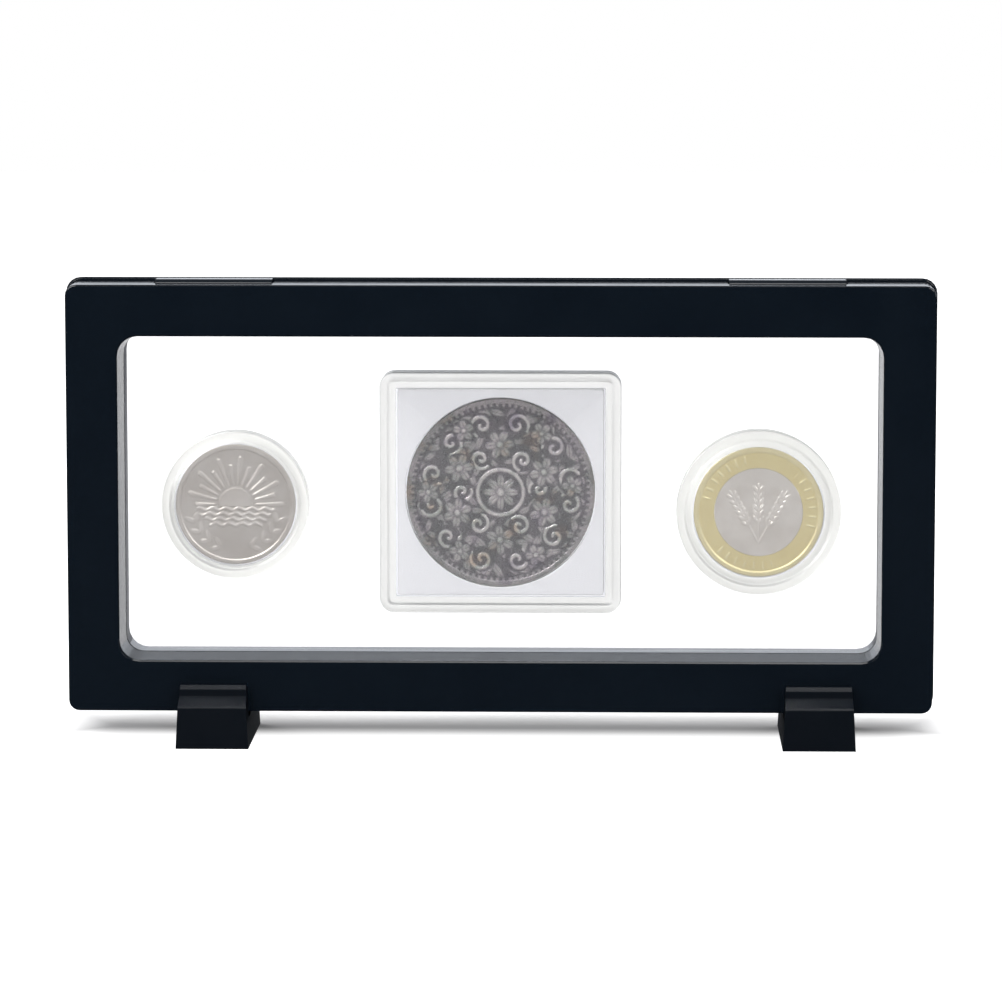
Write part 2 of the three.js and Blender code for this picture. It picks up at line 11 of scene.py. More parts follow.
import bmesh
import bpy
import numpy as np
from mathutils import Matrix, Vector


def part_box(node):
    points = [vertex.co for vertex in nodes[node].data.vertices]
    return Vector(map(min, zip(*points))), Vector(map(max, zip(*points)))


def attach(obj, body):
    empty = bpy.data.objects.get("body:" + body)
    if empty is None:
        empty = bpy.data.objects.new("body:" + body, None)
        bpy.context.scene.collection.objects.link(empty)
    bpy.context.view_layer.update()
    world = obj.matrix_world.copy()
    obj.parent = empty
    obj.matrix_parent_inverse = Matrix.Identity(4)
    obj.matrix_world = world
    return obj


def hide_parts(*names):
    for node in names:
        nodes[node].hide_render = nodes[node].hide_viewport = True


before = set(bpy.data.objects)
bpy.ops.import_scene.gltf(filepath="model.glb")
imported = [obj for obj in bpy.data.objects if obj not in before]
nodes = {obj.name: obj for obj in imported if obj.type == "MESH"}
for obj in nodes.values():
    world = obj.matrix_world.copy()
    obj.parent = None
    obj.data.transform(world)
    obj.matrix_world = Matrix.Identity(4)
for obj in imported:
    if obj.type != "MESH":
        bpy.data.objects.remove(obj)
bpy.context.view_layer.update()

MM = 0.001

# %% [markdown]
# ## Where the camera stands
# The photograph looks along the case from a little above and a little to the right, through a long lens,
# so that the window's inner walls show as thin strips. A long focal length from almost a metre away gives
# the same strips. The camera is aimed by turning its -Z axis towards a point inside the case.

# %% Camera
camera_place, aim_place = (24.7, -963.7, 162.9), (0.3, -10, 50.8)
sensor_width, focal_length, nearest_seen = 36, 168.1, 10
camera = bpy.data.objects.new("camera", bpy.data.cameras.new("camera"))
bpy.context.scene.collection.objects.link(camera)
bpy.context.scene.camera = camera
camera.location = Vector(camera_place) * MM
aim = Vector(aim_place) * MM
camera.rotation_mode = "QUATERNION"
camera.rotation_quaternion = (aim - camera.location).to_track_quat("-Z", "Y")
camera.data.sensor_width = sensor_width
camera.data.lens = focal_length
camera.data.clip_start = nearest_seen * MM
bpy.context.scene.view_settings.view_transform = "Standard"
print("camera looks down by", round(math.degrees(math.asin((camera.location - aim).normalized().z)), 1))

# %% [markdown]
# ## Helpers for materials
# Colours are written as sRGB hex values, as a colour picker gives them, but shaders count in linear light,
# so one function converts them. Another adds a node to a tree, sets its own settings and fills its
# sockets: with a value, with the output of another node, or with a whole node, which stands for its first
# output. A third makes an empty material to start from.

# %% Colour and node helpers
def linear(hex_colour):
    """The linear RGBA of an sRGB hex colour."""
    parts = [int(hex_colour[k:k + 2], 16) / 255 for k in (1, 3, 5)]
    return (*[c / 12.92 if c <= 0.04045 else ((c + 0.055) / 1.055) ** 2.4 for c in parts], 1)


def add(tree, kind, sockets=(), **settings):
    """Adds a node. sockets maps a name or number to a value, an output or a node's first output."""
    made = tree.nodes.new("ShaderNode" + kind)
    for name, value in settings.items():
        setattr(made, name, value)
    for name, value in dict(sockets).items():
        if isinstance(value, bpy.types.Node):
            value = value.outputs[0]
        if isinstance(value, bpy.types.NodeSocket):
            tree.links.new(value, made.inputs[name])
        else:
            made.inputs[name].default_value = value
    return made


def new_material(name):
    """An empty node material and its tree."""
    material = bpy.data.materials.new(name)
    material.use_nodes = True
    material.node_tree.nodes.clear()
    return material, material.node_tree


print("a half-bright grey is", round(linear("#808080")[0], 3), "in linear light")

# %% [markdown]
# ## The room
# The photograph is a product shot: white all round and behind, while the black plastic mirrors white only
# where it is seen at a glancing angle. One even white world can't do both, so each kind of ray gets its
# own level of light, where 1 is white. The Light Path node counts how often a ray was scattered, mirrored
# or let through, and a count above one half means at least once. A ray that has been let through more
# than six times comes back from a coin, and one mirrored twice was turned back inside a capsule's rim.

# %% Kinds of rays
ray_counts = {
    "scattered": ("Diffuse Depth", 0.5),
    "mirrored": ("Glossy Depth", 0.5),
    "turned_back": ("Glossy Depth", 1.5),
    "passed": ("Transmission Depth", 0.5),
    "from_coin": ("Transmission Depth", 6.5),
}


def ray_kinds(tree, names):
    """A Light Path node, and for each named kind of ray a node that gives 1 for it and 0 for others."""
    path = add(tree, "LightPath")
    kinds = {}
    for name in names:
        count, limit = ray_counts[name]
        kinds[name] = add(tree, "Math", {0: path.outputs[count], 1: limit}, operation="GREATER_THAN")
    return path, kinds


print("kinds of rays:", ", ".join(ray_counts))

# %% [markdown]
# ### The sky by direction
# A flat face mirrors one direction only, so the level may change with it: bright near the horizon, about
# half of that above it, and weaker overhead. A smooth step keeps each change soft. Two more steps part the
# room behind the case from the room in front, and make a sky that simply brightens upward.

# %% Sky bands
world = bpy.data.worlds.new("white_studio")
bpy.context.scene.world = world
world.use_nodes = True
world.cycles.sampling_method = "NONE"
tree = world.node_tree
tree.nodes.clear()
direction = add(tree, "SeparateXYZ", {0: add(tree, "TexCoord").outputs["Generated"]})
band = {}
for name, axis, start, end, start_level, end_level in [
    ("behind", "Y", -0.25, 0.25, 0.0, 1.0),
    ("horizon", "Z", 0.17, 0.25, 1.3, 0.5),
    ("crown", "Z", 0.35, 0.75, 1.0, 0.35),
    ("upward", "Z", -0.4, 0.5, 0.1, 1.3),
]:
    band[name] = add(tree, "MapRange", {"Value": direction.outputs[axis], "From Min": start,
                                        "From Max": end, "To Min": start_level, "To Max": end_level},
                     interpolation_type="SMOOTHSTEP")
print("sky bands:", ", ".join(band))

# %% [markdown]
# ### The level for each ray
# The plastic mirrors a dark room in front and the sky's bands behind. Seen through the clear pieces that
# sky is a little weaker, so that the films lay only a thin veil over the coins. Rays from a coin meet the
# sky that brightens upward, and rays turned back in a rim meet nearly white, because the rims in the
# photograph are pale. Straight through and to the camera the room is white, and scattered rays get a soft
# half level, so that the object isn't over-lit.

# %% World
dark_front, rim_front, rim_turned_back = 0.06, 0.2, 0.9
veil, seen_through, scattered_level = 0.77, 1.18, 0.5
path, ray = ray_kinds(tree, ("scattered", "mirrored", "turned_back", "passed", "from_coin"))
in_rim = add(tree, "Mix", {0: ray["turned_back"], 2: rim_front, 3: rim_turned_back})
in_capsule = add(tree, "Mix", {0: ray["from_coin"], 2: in_rim, 3: band["upward"]})
front = add(tree, "Mix", {0: ray["passed"], 2: dark_front, 3: in_capsule})
sky = add(tree, "Math", {0: band["horizon"], 1: band["crown"]}, operation="MULTIPLY")
veiled = add(tree, "Mix", {0: ray["passed"], 2: 1.0, 3: veil})
back = add(tree, "Math", {0: sky, 1: veiled}, operation="MULTIPLY")
reflected = add(tree, "Mix", {0: band["behind"], 2: front, 3: back})
through = add(tree, "Mix", {0: band["behind"], 2: band["upward"], 3: seen_through})
unscattered = add(tree, "Mix", {0: ray["mirrored"], 2: through, 3: reflected})
seen = add(tree, "Mix", {0: path.outputs["Is Camera Ray"], 2: unscattered, 3: 1.0})
level = add(tree, "Mix", {0: ray["scattered"], 2: seen, 3: scattered_level})
colour = add(tree, "Mix", {0: ray["mirrored"], 6: linear("#FFFFFF"), 7: linear("#E9EEF6")},
             data_type="RGBA").outputs[2]
add(tree, "OutputWorld", {"Surface": add(tree, "Background", {"Color": colour, "Strength": level})})
print("world:", len(tree.nodes), "nodes")

# %% [markdown]
# ## Lamps
# Four soft area lamps do the modelling: one high on the left for the relief of the coins, a weaker one
# high on the right, one overhead that draws the soft shadow on the table, and one behind for the backs of
# the coins. The last isn't seen in reflections, or it would show in the glossy top edge. Their power in
# watts is low, because the world already gives more than half of the light. Sizes are in millimetres.

# %% Lamps
for name, place, size, power in [
    ("key_lamp", (-420, -600, 560), 380, 2.7),
    ("fill_lamp", (520, -640, 560), 380, 1.7),
    ("top_lamp", (40, -300, 800), 420, 2.0),
    ("rear_lamp", (-560, 620, 380), 420, 1.6),
]:
    lamp = bpy.data.objects.new(name, bpy.data.lights.new(name, "AREA"))
    bpy.context.scene.collection.objects.link(lamp)
    lamp.data.energy = power
    lamp.data.size = size * MM
    lamp.location = Vector(place) * MM
    lamp.rotation_mode = "QUATERNION"
    lamp.rotation_quaternion = (aim - lamp.location).to_track_quat("-Z", "Y")
    lamp.visible_glossy = name != "rear_lamp"
    print(name, "stands", round((aim - lamp.location).length, 2), "m away")

# %% [markdown]
# ## Making pieces
# The finer pieces could be modelled by hand, but each follows a short rule, so their points are computed.
# One helper turns points and faces into an object, welds doubled points, turns the faces outward and
# shades them smooth up to an angle. It also names the body that the piece moves with and hides the solids
# that it replaces. A coin also stores the height of its relief at each point.

# %% Piece helper
weld_distance, sharp_from_degrees = 0.002, 35


def make_piece(name, points, faces, material, body, replaced, slot, relief=None):
    """An object from points in millimetres, riding on a body in place of the named solids."""
    mesh = bpy.data.meshes.new(name)
    faces = faces.tolist() if isinstance(faces, np.ndarray) else faces
    mesh.from_pydata((np.asarray(points) * MM).tolist(), [], faces)
    if relief is not None:
        mesh.attributes.new("relief", "FLOAT", "POINT").data.foreach_set("value", np.float32(relief))
    work = bmesh.new()
    work.from_mesh(mesh)
    bmesh.ops.remove_doubles(work, verts=work.verts, dist=weld_distance * MM)
    bmesh.ops.recalc_face_normals(work, faces=work.faces)
    work.to_mesh(mesh)
    work.free()
    mesh.shade_smooth()
    mesh.set_sharp_from_angle(angle=math.radians(sharp_from_degrees))
    mesh.materials.append(material)
    piece = bpy.data.objects.new(name, mesh)
    bpy.context.scene.collection.objects.link(piece)
    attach(piece, body)
    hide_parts(*replaced)
    print(name, len(mesh.vertices), "points")
    return piece


# %% [markdown]
# ### Rings and lofts
# Capsules, foam and coins are all lofts: rings of points joined by quads. A ring can be a circle or a
# square with rounded corners, with the same number of points, so any ring can be joined to any other. It
# is drawn flat and then stood up in the case, where x runs along the window and z upward.

# %% Ring helpers
def outline(half_x, half_z, corner, steps):
    """Points round a rectangle with rounded corners; a corner of the half size makes a circle."""
    points = []
    for k, (sign_x, sign_z) in enumerate([(1, 1), (-1, 1), (-1, -1), (1, -1)]):
        angles = (k + np.arange(steps + 1) / steps) * math.pi / 2
        points += [(sign_x * (half_x - corner) + corner * math.cos(a),
                    sign_z * (half_z - corner) + corner * math.sin(a)) for a in angles]
    return np.array(points)


def upright(flat, depth, group):
    """Stands a flat ring of x and z up at a depth, round the middle of a group."""
    return np.stack([flat[:, 0] + group["x"], np.full(len(flat), depth), flat[:, 1] + group["z"]], axis=1)


def loft(rings, closed, ends=True):
    """Quads between rings of equal length. An open loft gets a face on each end, unless told not to."""
    count = len(rings[0])
    points = np.concatenate(rings)
    faces = []
    for k in range(len(rings) - (0 if closed else 1)):
        here, there = k * count, (k + 1) % len(rings) * count
        faces += [(here + i, here + (i + 1) % count, there + (i + 1) % count, there + i)
                  for i in range(count)]
    if ends and not closed:
        last = (len(rings) - 1) * count
        faces += [tuple(range(count)), tuple(range(last, last + count))]
    return points, faces


print("a small rounded square has", len(outline(2, 2, 1, 4)), "points")

# %% [markdown]
# ## Table laminate
# The table is white laminate, melamine pressed smooth, with a barely visible cloudiness of about 17 mm. In
# reflections its colour is a painted reflection. Mirrored straight, as in the black plastic, it is painted
# dark, and mirrored after passing through the clear pieces it is painted grey.

# %% Table laminate
clouds_per_metre = 60.0
floor_material, tree = new_material("white_laminate")
path, ray = ray_kinds(tree, ("scattered", "mirrored", "passed"))
place = add(tree, "TexCoord").outputs["Object"]
cloud = add(tree, "TexNoise", {"Vector": place, "Scale": clouds_per_metre})
laminate = add(tree, "Mix", {0: cloud, 6: linear("#E4E4E6"), 7: linear("#E9E9EA")},
               data_type="RGBA").outputs[2]
# Painted reflection: the table is painted dark when mirrored straight, and grey when mirrored after passing
# through the clear pieces.
painted_reflection_tone = add(tree, "Mix", {0: ray["passed"], 6: linear("#303234"), 7: linear("#A0A0A2")},
                  data_type="RGBA").outputs[2]
colour = add(tree, "Mix", {0: ray["mirrored"], 6: laminate, 7: painted_reflection_tone}, data_type="RGBA").outputs[2]
diffuse = add(tree, "BsdfDiffuse", {"Color": colour})
print("table material:", floor_material.name)

# %% [markdown]
# ## The table's own light
# The photograph was whitened round the case: the table is as white as the background, and all that is left
# of the shadow is a strip behind the case. A light of its own, which is only seen straight or through the
# clear pieces, makes the table white. It is left out in the strip, so there the real shadow of the case
# shows. Four soft edges bound the strip, and each gives the place in millimetres where the table is fully
# shaded and where it is fully white.

# %% Table light
shadow_edges = [("X", -82, -99), ("X", 84, 101), ("Y", 12.5, -1), ("Y", 12, 46)]
near_table, far_table, near_share, mirrored_share = 200, 1000, 0.6, 0.85
spot = add(tree, "SeparateXYZ", {0: place})
fade = None
for axis, shaded, white in shadow_edges:
    rising = add(tree, "MapRange", {"Value": spot.outputs[axis], "From Min": shaded * MM,
                                    "From Max": white * MM}, interpolation_type="SMOOTHSTEP")
    fade = add(tree, "Math", {0: fade, 1: rising}, operation="MAXIMUM") if fade else rising
farther = add(tree, "MapRange", {"Value": spot.outputs["Y"], "From Min": near_table * MM,
                                 "From Max": far_table * MM, "To Min": near_share})
through_clear = add(tree, "Mix", {0: ray["passed"], 2: 1.0, 3: farther})
in_mirror = add(tree, "Mix", {0: ray["mirrored"], 2: 1.0, 3: mirrored_share})
looked = add(tree, "Math", {0: path.outputs["Is Camera Ray"], 1: path.outputs["Is Transmission Ray"]},
             operation="MAXIMUM")
glow = add(tree, "Math", {0: looked, 1: ray["scattered"]}, operation="SUBTRACT", use_clamp=True)
for share in (fade, through_clear, in_mirror):
    glow = add(tree, "Math", {0: glow, 1: share}, operation="MULTIPLY")
lift = add(tree, "Emission", {"Color": linear("#FFFFFF"), "Strength": glow})
add(tree, "OutputMaterial", {"Surface": add(tree, "AddShader", {0: diffuse, 1: lift})})
floor_material.cycles.emission_sampling = "NONE"
print("shadow strip:", len(shadow_edges), "edges")

# %% [markdown]
# ## Table
# The table is one flat quad, wide enough that its edge is never seen. It belongs to the studio and not to
# the case.

# %% Table
table_half = 2500
floor_mesh = bpy.data.meshes.new("floor")
floor_mesh.from_pydata([(x * table_half * MM, y * table_half * MM, 0)
                        for x, y in [(-1, -1), (1, -1), (1, 1), (-1, 1)]], [], [(0, 1, 2, 3)])
floor_mesh.materials.append(floor_material)
floor = bpy.data.objects.new("floor", floor_mesh)
bpy.context.scene.collection.objects.link(floor)
print("table is", 2 * table_half * MM, "m wide")

# %% [markdown]
# ## Black ABS
# Both frames and the feet are injection-moulded ABS, black with a little blue in it. The frames' mould is
# polished to a fine satin, so that their flat faces look nearly black from the front and turn bright at a
# glancing angle, as every smooth plastic does. The feet come from a spark-eroded mould: they are rougher,
# and the pores swallow part of the mirrored light. A noise with a grain of 0.25 mm bumps the surface by a
# few thousandths, one of 14 mm moves the roughness and colour, and a Bevel node rounds the sharp edges of
# the solids for light. A noise hardly ever leaves the range from 0.3 to 0.7, so that range is spread out.

# %% Black ABS
grain_size, grain_depth, cloud_size, edge_radius = 0.25, 0.0015, 14, 0.25
noise_low, noise_high = 0.3, 0.7


def black_abs(name, darker, lighter, smoothest, roughest, mirror_share=0.5):
    """Moulded ABS. A mirror_share of 0.5 is a surface without pores."""
    material, tree = new_material(name)
    place = add(tree, "TexCoord").outputs["Object"]
    grain = add(tree, "TexNoise", {"Vector": place, "Scale": 1 / (grain_size * MM), "Detail": 2.0})
    cloud = add(tree, "TexNoise", {"Vector": place, "Scale": 1 / (cloud_size * MM), "Detail": 3.0})
    colour = add(tree, "Mix", {0: cloud, 6: linear(darker), 7: linear(lighter)}, data_type="RGBA")
    rough = add(tree, "MapRange", {"Value": cloud, "From Min": noise_low, "From Max": noise_high,
                                   "To Min": smoothest, "To Max": roughest})
    edge = add(tree, "Bevel", {"Radius": edge_radius * MM}, samples=4)
    bump = add(tree, "Bump", {"Height": grain, "Normal": edge, "Distance": grain_depth * MM,
                              "Strength": 0.6})
    skin = add(tree, "BsdfPrincipled", {"Base Color": colour.outputs[2], "Roughness": rough,
                                        "Normal": bump, "IOR": 1.54, "Specular IOR Level": mirror_share})
    add(tree, "OutputMaterial", {"Surface": skin})
    return material


case_abs = black_abs("black_abs_satin", "#080F17", "#0D161F", 0.12, 0.16)
foot_abs = black_abs("black_abs_spark_eroded", "#020A14", "#040E1A", 0.38, 0.46, 0.3)
for name, finish in [("front_frame", case_abs), ("rear_frame", case_abs),
                     ("left_foot", foot_abs), ("right_foot", foot_abs)]:
    nodes[name].data.materials.clear()
    nodes[name].data.materials.append(finish)
    print(name, "is", finish.name)

# %% [markdown]
# ## Frosted rims
# A capsule's rim is frosted, which turns the hard dark lines of clear walls into the soft pale rings that
# the photograph shows. Plate and rim are one mesh with one material, so a mask tells them apart: the
# distance from the capsule's middle, counted round for a round capsule and square for the square one.

# %% Rim mask
rim_blur = 0.1


def rim_share(tree, place, rim):
    """0 inside a capsule's rim and 1 on it."""
    middle = (rim["x"] * MM, 0, rim["z"] * MM)
    shift = add(tree, "VectorMath", {0: place, 1: middle}, operation="SUBTRACT")
    flat = add(tree, "VectorMath", {0: shift, 1: (1, 0, 1)}, operation="MULTIPLY")
    if rim["square"]:
        sides = add(tree, "SeparateXYZ", {0: add(tree, "VectorMath", {0: flat}, operation="ABSOLUTE")})
        off = add(tree, "Math", {0: sides.outputs["X"], 1: sides.outputs["Z"]}, operation="MAXIMUM")
    else:
        off = add(tree, "VectorMath", {0: flat}, operation="LENGTH").outputs["Value"]
    return add(tree, "MapRange", {"Value": off, "From Min": (rim["start"] - rim_blur) * MM,
                                  "From Max": (rim["start"] + rim_blur) * MM})


print("the frosting of a rim fades in over", 2 * rim_blur, "mm")

# %% [markdown]
# ## Clear plastics
# The capsules are moulded in clear polystyrene, a hard plastic that bends light strongly, with an IOR of
# 1.59. The films are stretched polyurethane, with an IOR of 1.5. Real light goes through both, but a lamp
# hardly ever finds its way through refracting walls in a path tracer, and the coins would stay dark. So
# shadow rays see the same piece as fully transparent, and all other rays see it refract.

# %% Clear materials
def clear_plastic(name, tint, ior, waviness, wave_size, roughness, rim=None):
    """Clear plastic that lets lamps through, with low waves of a height and size in millimetres. rim
    gives the place, roughness and tint of a frosted rim."""
    material, tree = new_material(name)
    place = add(tree, "TexCoord").outputs["Object"]
    wave = add(tree, "TexNoise", {"Vector": place, "Scale": 1 / (wave_size * MM), "Detail": 1.0})
    bump = add(tree, "Bump", {"Height": wave, "Distance": waviness * MM, "Strength": 1.0})
    rough = add(tree, "MapRange", {"Value": wave, "To Min": 0.6 * roughness, "To Max": 1.3 * roughness})
    colour = linear(tint)
    if rim:
        share = rim_share(tree, place, rim)
        rough = add(tree, "Mix", {0: share, 2: rough, 3: rim["roughness"]})
        colour = add(tree, "Mix", {0: share, 6: colour, 7: linear(rim["tint"])},
                     data_type="RGBA").outputs[2]
    wall = add(tree, "BsdfPrincipled", {"Base Color": colour, "Roughness": rough, "IOR": ior,
                                        "Transmission Weight": 1.0, "Normal": bump})
    shadow = add(tree, "LightPath").outputs["Is Shadow Ray"]
    nothing = add(tree, "BsdfTransparent")
    choice = add(tree, "MixShader", {0: shadow, 1: wall, 2: nothing})
    add(tree, "OutputMaterial", {"Surface": choice})
    return material


def polystyrene(prefix, group, start, is_square, roughness, tint):
    """Clear polystyrene for one capsule, whose rim is frosted from a distance in millimetres."""
    rim = {"x": group["x"], "z": group["z"], "start": start, "square": is_square,
           "roughness": roughness, "tint": tint}
    return clear_plastic(f"clear_polystyrene_{prefix}", "#F5F5F8", 1.59, 0.004, 6, 0.08, rim)


urethane = clear_plastic("clear_polyurethane_film", "#FFFFFF", 1.5, 0.002, 4, 0.02)
print("film material:", urethane.name)

# %% [markdown]
# ## Places inside the window
# These sizes in millimetres are the ones that the solids were made from. Each capsule has a centre, an
# outer size, the depth of its inside and a reach, which is how far it stands out of the plane where the
# two halves meet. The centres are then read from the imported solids.

# %% Sizes that several pieces share
half_gap = 0.15
square = {"half": 25.0, "corner": 3.0, "inside": 1.9, "reach": 3.1}
left = {"radius": 15.25, "cavity": 12.7, "inside": 1.25, "reach": 2.85}
right = {"radius": 17.0, "cavity": 13.7, "inside": 1.3, "reach": 2.9}
for name, group in [("square_capsule_front", square), ("left_capsule_front", left),
                    ("right_capsule_front", right)]:
    low_corner, high_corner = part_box(name)
    group["x"] = (low_corner.x + high_corner.x) / 2 / MM
    group["z"] = (low_corner.z + high_corner.z) / 2 / MM
    print(name, "centre", round(group["x"], 2), round(group["z"], 2))

# %% [markdown]
# ## Films
# Each half of the case holds a thin elastic film welded flat on a land round its window. Between the two
# films the capsules push them apart, so each film rises like a tent to every capsule and lies flat on it.
# A taut film settles where every point is the mean of its neighbours, so that is how the shape is found:
# the edge and the tops are held, and all other points are averaged again and again until they rest.

# %% Film shape
film_half_x, film_half_z, film_corner = 80.7, 35.7, 6.28
film_seat, film_thickness, film_clearance, film_weld = 0.33, 0.2, 0.3, 3.8
film_columns, film_rows, film_passes = 181, 81, 4000
window_middle = (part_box("front_film")[0].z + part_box("front_film")[1].z) / 2 / MM
xs = np.linspace(-film_half_x, film_half_x, film_columns)
zs = np.linspace(-film_half_z, film_half_z, film_rows)
grid_x, grid_z = np.meshgrid(xs, zs, indexing="ij")
held = (np.abs(grid_x) > film_half_x - film_weld) | (np.abs(grid_z) > film_half_z - film_weld)
rise = np.zeros_like(grid_x)
off = np.maximum(np.abs(grid_x - square["x"]), np.abs(grid_z + window_middle - square["z"]))
tops = [(off < square["half"] + film_clearance, square["reach"])]
for group in (left, right):
    off = np.hypot(grid_x - group["x"], grid_z + window_middle - group["z"])
    tops.append((off < group["radius"] + film_clearance, group["reach"]))
for under, top in tops:
    rise[under] = top + film_clearance - film_seat
    held |= under
free = ~held[1:-1, 1:-1]
for _ in range(film_passes):
    mean = (rise[:-2, 1:-1] + rise[2:, 1:-1] + rise[1:-1, :-2] + rise[1:-1, 2:]) / 4
    change = np.where(free, mean - rise[1:-1, 1:-1], 0)
    rise[1:-1, 1:-1] += change
print("film: last change", float(np.abs(change).max()), "mm, top", round(float(rise.max()), 2))

# %% [markdown]
# ### From grid to film
# The grid is a rectangle, but the film has rounded corners, so grid points beyond a corner's arc are
# pulled back onto it. Two layers of the grid, one film thickness apart, are joined round the edge.

# %% Films
def film(name, side, body):
    """One film: two layers of the grid, joined round the edge."""
    over_x = np.maximum(np.abs(grid_x) - (film_half_x - film_corner), 0)
    over_z = np.maximum(np.abs(grid_z) - (film_half_z - film_corner), 0)
    far = np.hypot(over_x, over_z)
    pull = np.where((over_x > 0) & (over_z > 0) & (far > film_corner), film_corner / np.maximum(far, 1), 1)
    x = np.sign(grid_x) * (np.abs(grid_x) - over_x + over_x * pull)
    z = np.sign(grid_z) * (np.abs(grid_z) - over_z + over_z * pull) + window_middle
    layers = [np.stack([x, side * (film_seat + layer + rise), z], axis=-1).reshape(-1, 3)
              for layer in (0, film_thickness)]
    rows, columns = film_rows, film_columns
    count = rows * columns
    corner = (np.arange(columns - 1)[:, None] * rows + np.arange(rows - 1)).ravel()
    sheet = np.stack([corner, corner + rows, corner + rows + 1, corner + 1], axis=1)
    border = np.concatenate([np.arange(columns - 1) * rows, (columns - 1) * rows + np.arange(rows - 1),
                             np.arange(columns - 1, 0, -1) * rows + rows - 1,
                             np.arange(rows - 1, 0, -1)])
    after = np.roll(border, -1)
    edge = np.stack([border, after, after + count, border + count], axis=1)
    faces = np.concatenate([sheet, sheet + count, edge])
    return make_piece(name + "_stretched", np.concatenate(layers), faces, urethane, body, [name],
                      "clear_film")


film("front_film", -1, "cover")
film("rear_film", 1, "case")

# %% [markdown]
# ## Profiles
# A capsule half has the same section all round, so only that section has to be drawn, as a closed line of
# points with a distance from the middle and a depth. Each corner of it is rounded by a short curve, as a
# mould rounds it. For a round capsule the section is turned on an axis, and 96 steps give clean rings.

# %% Profile helpers
quarter_steps, pinhole = 24, 0.01


def rounded(points, radius_at, steps=4):
    """Rounds the numbered corners of a profile: each becomes an arc-like curve of the given radius."""
    smooth = []
    for k, point in enumerate(points):
        radius = radius_at.get(k, 0)
        if not radius:
            smooth.append(point)
            continue
        here = np.array(point)
        before, after = np.array(points[k - 1]), np.array(points[(k + 1) % len(points)])
        start = here + (before - here) / np.linalg.norm(before - here) * radius
        end = here + (after - here) / np.linalg.norm(after - here) * radius
        for t in np.linspace(0, 1, steps + 1):
            smooth.append(tuple((1 - t) ** 2 * start + 2 * t * (1 - t) * here + t ** 2 * end))
    return smooth


def turned(profile, side, group):
    """Circles round a capsule's own axis, one for each profile point of radius and depth."""
    rings = []
    for radius, depth in profile:
        radius = max(radius, pinhole)
        rings.append(upright(outline(radius, radius, radius, quarter_steps), side * depth, group))
    return rings


print("a turned ring has", 4 * quarter_steps, "steps")

# %% [markdown]
# ## Round capsules
# A round capsule is two shallow polystyrene dishes that press together: the rear one has a thin spigot
# that the front one closes over. Each has a flat clear plate with a raised rim, and the eye sees the rim
# as soft pale rings. All measures of the section are in millimetres, and so are the radii of its corners.

# %% Round capsules
plate_thickness, rim_width, rim_slope = 1.0, 1.6, 0.4
spigot_wall, spigot_length, spigot_play, frost_offset = 0.9, 0.7, 0.3, 0.1
rim_corners, spigot_corners = {1: 0.25, 2: 0.3, 3: 0.3, 4: 0.1}, {6: 0.15, 7: 0.15}
for prefix, group in [("left", left), ("right", right)]:
    styrene = polystyrene(prefix, group, group["cavity"] + frost_offset, False, 0.42, "#FEFEFC")
    outer, cavity, inside, reach = (group[k] for k in ("radius", "cavity", "inside", "reach"))
    plate, spigot = inside + plate_thickness, cavity + spigot_wall
    shell = [(0, plate), (outer - rim_width - rim_slope, plate), (outer - rim_width, reach),
             (outer, reach), (outer, half_gap)]
    lid = shell + [(spigot + spigot_play, half_gap), (spigot + spigot_play, inside), (0, inside)]
    dish = shell + [(spigot, half_gap), (spigot, -spigot_length), (cavity, -spigot_length),
                    (cavity, inside), (0, inside)]
    for part, side, profile, corners in [("front", -1, lid, rim_corners),
                                         ("rear", 1, dish, {**rim_corners, **spigot_corners})]:
        name = f"{prefix}_capsule_{part}"
        rings = turned(rounded(profile, corners), side, group)
        make_piece(name + "_clear", *loft(rings, False), styrene, "case", [name], "clear_styrene")

# %% [markdown]
# ## Square capsule
# The square capsule is a tray with a lid whose skirt nests inside it, in the same clear polystyrene. Its
# outline is a square with rounded corners, so the same loft serves, with a smaller corner where the ring
# is smaller. The outer edges are rounded by half a millimetre and the rim is lightly frosted, which draws
# the pale double line.

# %% Square capsule
smallest_corner, corner_steps = 0.25, 10


def squared(profile, side, group):
    """Rounded squares, one for each profile point of half width and depth."""
    rings = []
    for half, depth in profile:
        corner = max(group["corner"] + half - group["half"], smallest_corner)
        rings.append(upright(outline(half, half, min(corner, half), corner_steps), side * depth, group))
    return rings


plate_middle, frost_start = 2, 21.7
skirt_outer, skirt_inner, skirt_end, tray_wall, tray_play = 23.1, 21.6, 0.5, 1.6, 0.3
half, inside, reach = square["half"], square["inside"], square["reach"]
styrene = polystyrene("square", square, frost_start, True, 0.28, "#F8F8F7")
lid = [(plate_middle, reach), (half, reach), (half, inside), (skirt_outer, inside),
       (skirt_outer, skirt_end), (skirt_inner, skirt_end), (skirt_inner, inside), (plate_middle, inside)]
tray = [(plate_middle, reach), (half, reach), (half, tray_play - inside),
        (half - tray_wall, tray_play - inside), (half - tray_wall, inside), (plate_middle, inside)]
for part, side, profile, corners in [("front", -1, lid, {1: 0.5, 2: 0.1, 4: 0.12, 5: 0.12}),
                                     ("rear", 1, tray, {1: 0.5, 2: 0.15, 3: 0.15, 4: 0.2})]:
    name = f"square_capsule_{part}"
    rings = squared(rounded(profile, corners), side, square)
    make_piece(name + "_clear", *loft(rings, False), styrene, "case", [name], "clear_styrene")

# %% [markdown]
# ## Foam insert
# The large coin sits in a square of closed-cell polyethylene foam with a round hole. It is off-white, has
# cells of about 0.3 mm that were cut open when the sheet was skived, and so looks soft and quite matt. A
# Voronoi texture at that cell size gives the dimples, and the loft goes from square to circle and back.

